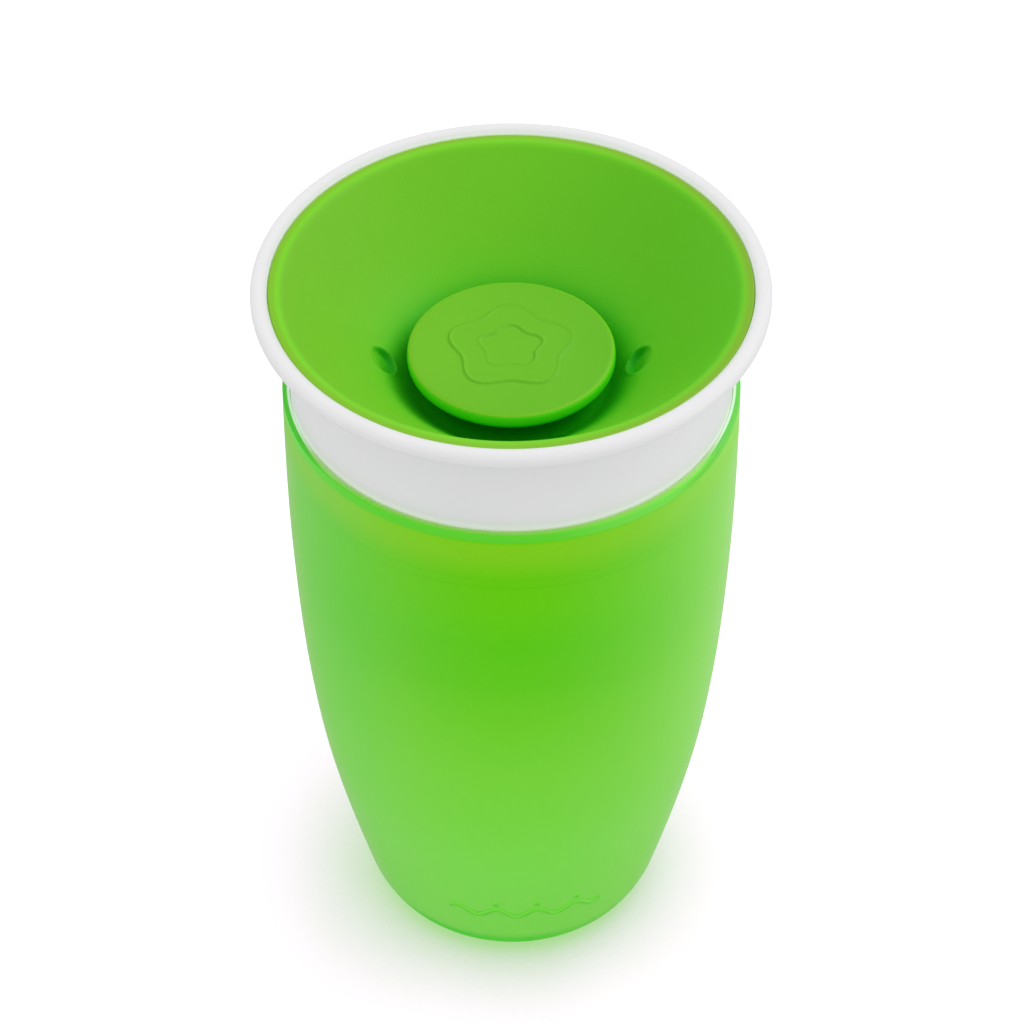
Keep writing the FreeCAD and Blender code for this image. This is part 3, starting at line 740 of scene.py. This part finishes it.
# rim's top, a painted reflection of the white collar: middle, side, inner part and far side; then
# the outer edge's painted shade, left and right
TOP_REFLECT_MIDDLE, TOP_REFLECT_SIDE = (0.36, 0.72, 0.13, 1), (0.46, 0.74, 0.26, 1)
TOP_REFLECT_INNER, TOP_REFLECT_FAR = (0.46, 0.52, 0.32, 1), (0.78, 0.84, 0.78, 1)
EDGE_SHADE_LEFT, EDGE_SHADE_RIGHT = (0.105, 0.65, 0.06, 1), (0.17, 0.62, 0.12, 1)
FOOT_SHADE_GREEN, RELIEF_SHADE_GREEN = (0.135, 0.85, 0.075, 1), (0.06, 0.60, 0.012, 1)
MOTTLE_GREEN, WEAR_GREEN = (0.24, 0.84, 0.03, 1), (0.40, 0.92, 0.22, 1)


def cup_wall(m, z, facing, sideways):
    """Saturated where the wall faces the eye; a painted sheen makes it paler at a grazing view, and
    painted shade makes it cooler on the left.
    """
    core = m.ramp(m.remap(z, over=CUP_HEIGHT_SPAN, smooth=False), CUP_GREENS)
    base = m.mix(m.remap(facing, over=(0.27, 0.82), smooth=False), core, OBLIQUE_SHEEN_GREEN)
    base = m.mix(m.remap(facing, over=(0.78, 0.94), to=(0.0, 0.9)), base, GRAZING_SHEEN_GREEN)
    # painted shade on the left flank, weaker at a grazing view and lower down
    cool = m.times(m.remap(sideways(), over=(-0.45, -0.78)),
                   m.remap(facing, over=(0.74, 0.90), to=FADE),
                   m.remap(z, over=(30.0, 80.0), to=(0.45, 1.0)))
    return m.mix(cool, base, LEFT_SHADE_TINT, "MULTIPLY")


def cup_band(m, base, z, facing, right):
    """More saturated band at the rim, with a painted sheen where seen at a slant and painted light
    on the right flank; then the yellower zone below, painted light from the white skirt standing
    behind, with darker lines painted where the skirt's lower end shows through.
    """
    strength = 0.8              # of both zones, and of the change of colour to the right
    band = m.times(m.remap(z, over=(109.2, 109.6)), 1.0)    # at full width
    green = m.mix(m.remap(facing, over=(0.35, 0.75)), BAND_FRONT, BAND_OBLIQUE_SHEEN)
    green = m.mix(m.times(right, strength), green, BAND_LIT_RIGHT)
    flank = m.times(right, m.remap(facing, over=(0.45, 0.62)))
    green = m.mix(flank, green, BAND_FLANK_LIGHT_TINT, "MULTIPLY")
    base = m.mix(m.times(band, strength), base, green)
    # painted light: the zone in front of the white skirt turns paler and yellower
    behind = m.times(m.remap(z, over=(100.2, 107.1)), m.remap(z, over=(108.8, 109.4), to=FADE))
    skirt_glow = m.mix(m.remap(facing, over=(0.25, 0.65)), SKIRT_GLOW_FRONT, SKIRT_GLOW_OBLIQUE)
    base = m.mix(m.times(behind, strength), base, skirt_glow)
    # painted shade: darker lines where the skirt's lower end shows through the wall
    for line_z, width, depth in SKIRT_EDGE_SHADE_LINES:
        off = m.math("ABSOLUTE", m.math("SUBTRACT", z, line_z))
        line = m.times(m.remap(off, over=(0.0, width), to=(depth, 0.0)),
                       m.remap(facing, over=(0.30, 0.55), to=(1.0, 0.1)))
        base = m.mix(line, base, LINE_GREEN)
    return base


def cup_rim(m, base, z, radial, side, right):
    """Top of the rim, with a painted reflection of the white collar, most of all at the sides, and
    painted shade on the outer edge at the sides.
    Returns the colour and the mask of the top face."""
    pale = m.mix(m.remap(side, over=(0.60, 0.85)), TOP_REFLECT_MIDDLE, TOP_REFLECT_SIDE)
    pale = m.mix(m.remap(radial, over=(35.7, 36.15), to=(0.9, 0.0)), pale, TOP_REFLECT_INNER)
    pale = m.mix(m.remap(side, over=(0.84, 0.96)), pale, TOP_REFLECT_FAR)
    # at the sides only the inner half of the rim is pale
    narrow = m.math("ADD", radial, m.remap(side, over=(0.78, 0.94), to=(0.0, 0.50)))
    # painted shade on the rim's outer edge at the sides, paler on the right
    rim_edge_shade = m.mix(right, EDGE_SHADE_LEFT, EDGE_SHADE_RIGHT)
    edge = m.times(m.remap(z, over=(110.45, 110.80)),
                   m.remap(side, over=(0.78, 0.92), to=(0.0, 0.85)))
    base = m.mix(edge, base, rim_edge_shade)
    top = m.times(m.remap(z, over=(110.78, 110.94)),
                  m.remap(narrow, over=(36.44, 36.60), to=FADE))
    inner_edge = m.times(m.remap(z, over=(110.3, 110.5)),
                         m.remap(radial, over=(35.74, 35.86), to=FADE))
    top = m.math("MAXIMUM", top, inner_edge)
    pale_strength = 0.85
    return m.mix(m.times(top, pale_strength), base, pale), top


def cup_material():
    m = material_graph("frosted_green_pp")
    parts = m.split()
    z, radial = m.axis(parts, 2), m.radius(parts)
    facing = m.node("ShaderNodeLayerWeight", {"Blend": 0.5}).outputs["Facing"]

    def sideways():
        """-1 at the left, 1 at the right; the radius is kept from reaching zero."""
        return m.math("DIVIDE", m.axis(parts, 0), m.math("MAXIMUM", radial, 1.0))

    base = cup_wall(m, z, facing, sideways)
    right = m.remap(sideways(), over=(0.10, 0.55))
    base = cup_band(m, base, z, facing, right)
    base, top_face = cup_rim(m, base, z, radial, m.math("ABSOLUTE", sideways()), right)
    # painted shade: the foot's edge turns a darker, more saturated green, half as much on the right
    # where the key light falls; a painted glow stands for the light it catches from the floor
    foot = m.times(m.remap(z, over=(4.6, 7.3), to=(0.82, 0.0)),
                   m.math("SUBTRACT", 1.0, m.times(right, 0.5)))
    base = m.mix(foot, base, FOOT_SHADE_GREEN)
    foot_glow = m.remap(z, over=(1.6, 4.4), to=(0.20, 0.085))
    # painted shade along the raised wave's bends makes it read a little darker than the wall round
    # it; 0.5 is a flat surface
    bend = m.math("ABSOLUTE", m.math("SUBTRACT", m.attribute(), 0.5))
    relief = m.remap(bend, over=(0.010, 0.032), to=(0.0, 0.52))
    low = m.times(m.remap(z, over=(8.6, 9.2)), m.remap(z, over=(20.2, 20.8), to=FADE))
    base = m.mix(m.times(relief, low), base, RELIEF_SHADE_GREEN)
    mottle = m.noise(scale=45.0, detail=4.0, rough=0.55)
    base = m.mix(m.remap(mottle, over=(0.35, 0.65), to=(0.0, 0.07)), base, MOTTLE_GREEN)
    wear = m.times(m.remap(m.attribute(), over=(0.53, 0.62), to=(0.0, 0.35)),
                   m.remap(z, over=(20.0, 24.0)))
    base = m.mix(wear, base, WEAR_GREEN)
    grain = m.noise(scale=2600.0, detail=2.0, rough=0.6)
    flow = m.noise(scale=160.0, detail=3.0)
    normal = m.bump([(flow, 0.05), (grain, 0.10)], distance=0.0004)
    # painted glow on the rim's top face, strongest at its inner edge
    top_glow = m.times(top_face, m.remap(radial, over=(35.65, 36.15), to=(0.34, 0.06)))
    plastic = m.principled({
        "Base Color": base,
        "Roughness": m.remap(mottle, over=(0.3, 0.7), to=(0.42, 0.52)),
        "IOR": 1.49,
        "Specular IOR Level": m.remap(z, over=(4.6, 7.6), to=(0.0, 0.07)),
        "Specular Tint": (0.5, 1.0, 0.4, 1.0),
        "Emission Color": base,
        "Emission Strength": m.math("ADD", top_glow, foot_glow),
        "Normal": normal})
    through = m.node("ShaderNodeBsdfTranslucent", {"Color": base, "Normal": normal}).outputs[0]
    return m.finish(m.mix_shader(share=0.30, a=plastic, b=through))


RECESS_R = 38.62                # edge of the recess that holds the disc


def recess_glow(m):
    """Painted glow in the recess round the disc and in the socket above the cup's rim, lifting the
    shade there.
    """
    parts = m.split()
    z, radial = m.axis(parts, 2), m.radius(parts)
    inside = m.times(m.remap(radial, over=(RECESS_R, RECESS_R + 0.4), to=(0.20, 0.0)),
                     m.times(m.remap(z, over=(LIP_TOP - 3.0, LIP_TOP - 1.2)),
                             m.remap(z, over=(LIP_TOP - 0.85, LIP_TOP - 0.45), to=FADE)))
    socket = m.times(m.remap(z, over=(CUP_RIM + 0.05, CUP_RIM + 1.3), to=(0.12, 0.0)),
                     m.remap(radial, over=(34.5, 35.2)))
    return m.math("ADD", inside, socket)


def white_material(name, tint, rough, glowing=False):
    m = material_graph(name)
    cloud = m.noise(scale=38.0, detail=4.0, rough=0.55)
    clouded = (tint[0] * 0.965, tint[1] * 0.965, tint[2] * 0.96, 1)
    edge_white = (0.93, 0.93, 0.92, 1)
    base = m.mix(m.remap(cloud, over=(0.35, 0.7), to=(0.0, 0.35)), tint, clouded)
    base = m.mix(m.remap(m.attribute(), over=(0.52, 0.62), to=(0.0, 0.3)), base, edge_white)
    grain = m.noise(scale=3200.0, detail=2.0, rough=0.6)
    flow = m.noise(scale=120.0, detail=2.0)
    inputs = {
        "Base Color": base,
        "Roughness": m.remap(cloud, over=(0.3, 0.7), to=rough),
        "IOR": 1.49,
        "Subsurface Weight": 0.12,
        "Subsurface Radius": (0.0016, 0.0015, 0.0013),
        "Subsurface Scale": 1.0,
        "Normal": m.bump([(flow, 0.03), (grain, 0.05)], distance=0.0003)}
    # painted glow in the collar's recess and socket
    if glowing:
        inputs["Emission Strength"] = recess_glow(m)
        inputs["Emission Color"] = (0.96, 1.0, 0.93, 1.0)
    return m.finish(m.principled(inputs))


# painted shade for concave hollows and for the vents' pockets
HOLLOW_SHADE_GREEN, POCKET_SHADE_GREEN = (0.015, 0.30, 0.006, 1), (0.005, 0.33, 0.001, 1)
SILICONE_SHADE = [              # tint by ambient occlusion, from hidden to open
    (0.05, (0.0, 0.55, 0.0)), (0.35, (0.05, 0.95, 0.05)), (0.70, (0.50, 1.0, 0.55)),
    (0.93, (1.0, 1.0, 1.0))]

DISC_GREEN, DISC_HIGHLIGHT = (0.1625, 0.594, 0.01625, 1), (0.190, 0.455, 0.024, 1)
DISC_EDGE_SHADE_GREEN = (0.20, 0.46, 0.035, 1)
# painted light and shade: tints from left to right, for how the key light from the right falls on
# each side
FUNNEL_LIT_SIDE_TINTS = [(0.0, (0.87, 0.70, 0.87)), (0.5, (0.88, 0.86, 0.85)), (1.0, (0.70, 0.86, 0.77))]
RIM_LIT_SIDE_TINTS = [(0.0, (0.95, 0.93, 0.76)), (0.5, (0.97, 0.91, 0.95)), (1.0, (0.88, 0.78, 0.78))]

# knob: painted highlight on its edges, a side painted brighter, a painted highlight line and
# painted side tints
KNOB_GREEN, KNOB_HIGHLIGHT = (0.157, 0.515, 0.0175, 1), (0.19, 0.43, 0.015, 1)
KNOB_SIDE_LIT_GREEN, KNOB_HIGHLIGHT_LINE_GREEN = (0.095, 0.86, 0.009, 1), (0.30, 0.72, 0.02, 1)
KNOB_LIT_SIDE_TINTS = [(0.0, (0.90, 0.85, 0.90)), (0.5, (0.80, 0.81, 0.80)), (1.0, (0.73, 0.79, 0.72))]


def silicone_start(name, main):
    """Graph, cloud noise and clouded base colour."""
    m = material_graph(name)
    cloud = m.noise(scale=55.0, detail=4.0, rough=0.55)
    clouded = tuple(c * 0.93 for c in main[:3]) + (1,)
    base = m.mix(m.remap(cloud, over=(0.32, 0.7), to=(0.0, 0.35)), main, clouded)
    return m, cloud, base


# painted highlight on convex edges
def highlight_edges(m, base, light):
    return m.mix(m.remap(m.attribute(), over=(0.515, 0.6), to=(0.0, 0.4)), base, light)


def left_to_right(m, half_width):
    over = (-half_width, half_width)
    return m.remap(m.axis(m.split(), 0), over=over, smooth=False)


# painted light and shade: the side tint, then painted shade in the hollows
def light_tint_and_hollow_shade(m, base, tint):
    base = m.mix(1.0, base, tint, "MULTIPLY")       # the tint applies in full
    hollow = m.remap(m.attribute(), over=(0.488, 0.44), to=(0.0, 0.55))
    return m.mix(hollow, base, HOLLOW_SHADE_GREEN)


def silicone_finish(m, base, main, cloud, shaded, rough, glow=None):
    """Dust specks, occlusion where shaded, grain and the shader itself."""
    cells = m.node("ShaderNodeTexVoronoi", {"Vector": m.coords, "Scale": 420.0}, feature="F1")
    dot = m.remap(cells.outputs["Distance"], over=(0.04, 0.09), to=FADE)
    pick = m.remap(m.noise(scale=260.0, detail=1.0), over=(0.62, 0.7), to=(0.0, 0.28))
    dust = tuple(min(1.0, c * 0.7 + 0.03) for c in main[:3]) + (1,)
    base = m.mix(m.times(dot, pick), base, dust)
    shade = m.ramp(m.occlusion(samples=6, distance=0.011), SILICONE_SHADE)
    base = m.mix(shaded, base, shade, "MULTIPLY")
    grain = m.noise(scale=3000.0, detail=2.0, rough=0.6)
    inputs = {
        "Base Color": base,
        "Roughness": m.remap(cloud, over=(0.3, 0.7), to=rough),
        "IOR": 1.42,
        "Specular IOR Level": 0.16,
        "Normal": m.bump([(cloud, 0.02), (grain, 0.08)], distance=0.0003)}
    if glow is not None:
        inputs.update({"Emission Color": base, "Emission Strength": glow})
    return m.finish(m.principled(inputs))


def disc_material():
    m, cloud, base = silicone_start("disc_green_silicone", DISC_GREEN)
    radial = m.radius(m.split())
    shaded = m.remap(radial, over=(33.0, 36.0), to=FADE)
    funnel = m.remap(radial, over=(36.0, 37.2), to=FADE)
    # painted highlight along the bead near the disc's rim
    base = m.mix(m.remap(radial, over=(36.7, DISC_R - 0.6), to=(0.0, 0.9)), base, DISC_HIGHLIGHT)
    # painted shade: the outermost edge against the white lip turns a darker olive
    edge = m.remap(radial, over=(DISC_R - 0.40, DISC_R - 0.1))
    base = m.mix(edge, base, DISC_EDGE_SHADE_GREEN)
    base = highlight_edges(m, base, DISC_HIGHLIGHT)
    place = left_to_right(m, half_width=36.0)
    tint = m.mix(funnel, m.ramp(place, RIM_LIT_SIDE_TINTS), m.ramp(place, FUNNEL_LIT_SIDE_TINTS))
    base = light_tint_and_hollow_shade(m, base, tint)
    # painted shade inside the vents
    pocket_strength = 0.75
    base = m.mix(m.times(m.attribute("pocket"), pocket_strength), base, POCKET_SHADE_GREEN)
    # painted glow on that thin edge
    edge_glow = 0.14            # the thin edge against the white lip glows a little
    return silicone_finish(m, base, DISC_GREEN, cloud, shaded, rough=(0.46, 0.58),
                           glow=m.times(edge, edge_glow))


def knob_material():
    m, cloud, base = silicone_start("knob_green", KNOB_GREEN)
    z = m.axis(m.split(), 2)
    # the cap's side is painted a brighter, saturated green as painted light; the occlusion shade
    # darkens only its underside in the gap
    shaded = m.remap(z, over=(KNOB_TOP - 2.6, KNOB_TOP - 0.7), to=FADE)
    side = m.remap(z, over=(KNOB_TOP - 0.55, KNOB_TOP - 0.12), to=(0.85, 0.0))
    base = m.mix(side, base, KNOB_SIDE_LIT_GREEN)
    # painted highlight: a yellow-green line just under the top edge
    off = m.math("ABSOLUTE", m.math("SUBTRACT", z, KNOB_TOP - 0.22))    # line under the top
    base = m.mix(m.remap(off, over=(0.0, 0.24), to=(0.55, 0.0)), base, KNOB_HIGHLIGHT_LINE_GREEN)
    base = highlight_edges(m, base, KNOB_HIGHLIGHT)
    # painted light and shade on the knob from left to right
    tint = m.ramp(left_to_right(m, half_width=15.0), KNOB_LIT_SIDE_TINTS)
    base = light_tint_and_hollow_shade(m, base, tint)
    return silicone_finish(m, base, KNOB_GREEN, cloud, shaded, rough=(0.42, 0.54))


def use(obj, material):
    obj.data.materials.clear()
    obj.data.materials.append(material)


use(cup, cup_material())
use(collar, white_material("satin_white_pp", tint=(0.825, 0.822, 0.835, 1), rough=(0.34, 0.44),
                           glowing=True))
use(carrier, white_material("support_white_pp", tint=(0.78, 0.78, 0.79, 1), rough=(0.36, 0.46)))
use(gasket, white_material("milky_silicone", tint=(0.72, 0.73, 0.73, 1), rough=(0.5, 0.6)))
use(disc, disc_material())
use(knob, knob_material())


# ---------------------------------------------------------- floor and lights
FLOOR_GREYS = (0.44, 0.44, 0.44, 1), (0.43, 0.43, 0.427, 1)
FLOOR_BOUNCE = (0.76, 0.76, 0.76, 1.0)
# painted shadow on the floor, by ambient occlusion from hidden to open: the colour it reflects,
# with a painted green bounce from the cup near the foot, and its own glow, dimmed near the cup
FLOOR_SHADE = [(0.30, (0.50, 0.80, 0.37)), (0.48, (0.64, 0.84, 0.58)),
               (0.70, (0.86, 0.92, 0.85)), (0.93, (1.0, 1.0, 1.0))]
FLOOR_GLOW_AND_SHADOW = [(0.30, (0.44, 0.64, 0.32)), (0.48, (0.60, 0.58, 0.57)), (0.62, (0.83, 0.73, 0.83)),
              (0.80, (0.98, 0.81, 0.98)), (0.95, (1.0, 1.0, 1.0))]


def floor_material():
    m = material_graph("pale_floor")
    cloud = m.noise(scale=9.0, detail=4.0)
    base = m.mix(m.remap(cloud, over=(0.3, 0.7), to=(0.0, 0.5)), *FLOOR_GREYS)
    openness = m.occlusion(samples=10, distance=0.034)
    near = m.ramp(openness, FLOOR_SHADE)
    # a touch more shade on the left, a little less on the right
    lean = m.remap(m.axis(m.split(), 0), over=(-8.0, -34.0), to=(0.0, 0.10))
    lean = m.math("ADD", lean, m.remap(m.axis(m.split(), 0), over=(4.0, 18.0), to=(0.0, -0.045)))
    glow = m.ramp(m.math("SUBTRACT", openness, lean), FLOOR_GLOW_AND_SHADOW)
    seen = m.principled({
        "Base Color": m.mix(1.0, base, near, "MULTIPLY"),
        "Roughness": 0.7,
        "Specular IOR Level": 0.2,
        "Emission Color": glow,
        "Emission Strength": 0.78})
    # the floor is white to the eye and throws less light back up
    bounce = m.node("ShaderNodeBsdfDiffuse", {0: FLOOR_BOUNCE}).outputs[0]
    to_camera = m.node("ShaderNodeLightPath").outputs["Is Camera Ray"]
    return m.finish(m.mix_shader(to_camera, bounce, seen))


def build_floor():
    bm = bmesh.new()
    bmesh.ops.create_circle(bm, cap_ends=True, segments=96, radius=4.0)
    mesh = bpy.data.meshes.new("floor")
    bm.to_mesh(mesh)
    bm.free()
    floor = bpy.data.objects.new("floor", mesh)
    floor.location.z = CUP_FOOT * MM - 0.00002      # just clear of the cup
    bpy.context.scene.collection.objects.link(floor)
    use(floor, floor_material())


def build_world():
    """A soft box overhead: its light falls off towards the horizon; the camera sees white."""
    world = bpy.data.worlds.new("studio")
    bpy.context.scene.world = world
    world.use_nodes = True
    sky = Graph(world, space="Generated")
    dome = sky.remap(sky.split()[2], over=(0.0, 1.0), to=(0.80, 1.08), smooth=False)
    to_camera = sky.node("ShaderNodeLightPath").outputs["Is Camera Ray"]
    seen_strength = 1.0
    strength = sky.node("ShaderNodeMix", {0: to_camera, 2: dome, 3: seen_strength}).outputs[0]
    background = sky.tree.nodes["Background"]
    background.inputs[0].default_value = (1.0, 1.0, 1.0, 1.0)
    sky.tree.links.new(strength, background.inputs[1])


def add_light(name, location, aim_z, size, power, group, pieces):
    """Round area light aimed at a height on the axis, lighting only the given pieces."""
    light = bpy.data.lights.new(name, "AREA")
    light.shape = "DISK"
    light.size = size
    light.energy = power
    obj = bpy.data.objects.new(name, light)
    obj.location = location
    aim = Vector((0, 0, aim_z)) - Vector(location)
    obj.rotation_euler = aim.to_track_quat("-Z", "Y").to_euler()
    bpy.context.scene.collection.objects.link(obj)
    receivers = bpy.data.collections.new(group)
    for piece in pieces:
        receivers.objects.link(piece)
    obj.light_linking.receiver_collection = receivers


build_floor()
build_world()

# the soft key comes from the back right; the white collar takes much less of it
KEY_PLACE = (0.62, 0.30, 0.75)
add_light("key", KEY_PLACE, aim_z=0.10, size=0.7, power=4.3, group="key_lights",
          pieces=(cup, gasket, carrier, disc, knob))
add_light("collar_key", KEY_PLACE, aim_z=0.10, size=0.9, power=0.5, group="collar_lights",
          pieces=(collar,))
# two weak lights near the floor lift the flanks of the white band
add_light("strip_right", (0.70, -0.16, 0.02), aim_z=0.12, size=0.25, power=0.66,
          group="strip_right_lights", pieces=(collar,))
add_light("strip_left", (-0.66, -0.26, 0.02), aim_z=0.12, size=0.25, power=0.24,
          group="strip_left_lights", pieces=(collar,))


# --------------------------------------------------------------------- camera
ELEVATION = math.radians(42.808)
DISTANCE = 0.8                  # from the point on the axis that it looks at
TARGET_Z = 0.08207
ROLL = -0.003                   # radians: the view leans by a fraction of a degree


def build_camera():
    camera = bpy.data.cameras.new("camera")
    camera.sensor_width = 36.0
    camera.lens = 171.242578
    camera.shift_x = 0.0001953125
    camera.clip_start = 0.05
    obj = bpy.data.objects.new("camera", camera)
    obj.location = (0.0, -DISTANCE * math.cos(ELEVATION),
                    TARGET_Z + DISTANCE * math.sin(ELEVATION))
    tilt = Matrix.Rotation(math.radians(90) - ELEVATION, 3, "X")
    obj.rotation_euler = (tilt @ Matrix.Rotation(ROLL, 3, "Z")).to_euler()
    bpy.context.scene.collection.objects.link(obj)
    bpy.context.scene.camera = obj


build_camera()
view = bpy.context.scene.view_settings
view.view_transform = "Standard"
view.look = "None"
view.exposure = 0.0
view.gamma = 1.0
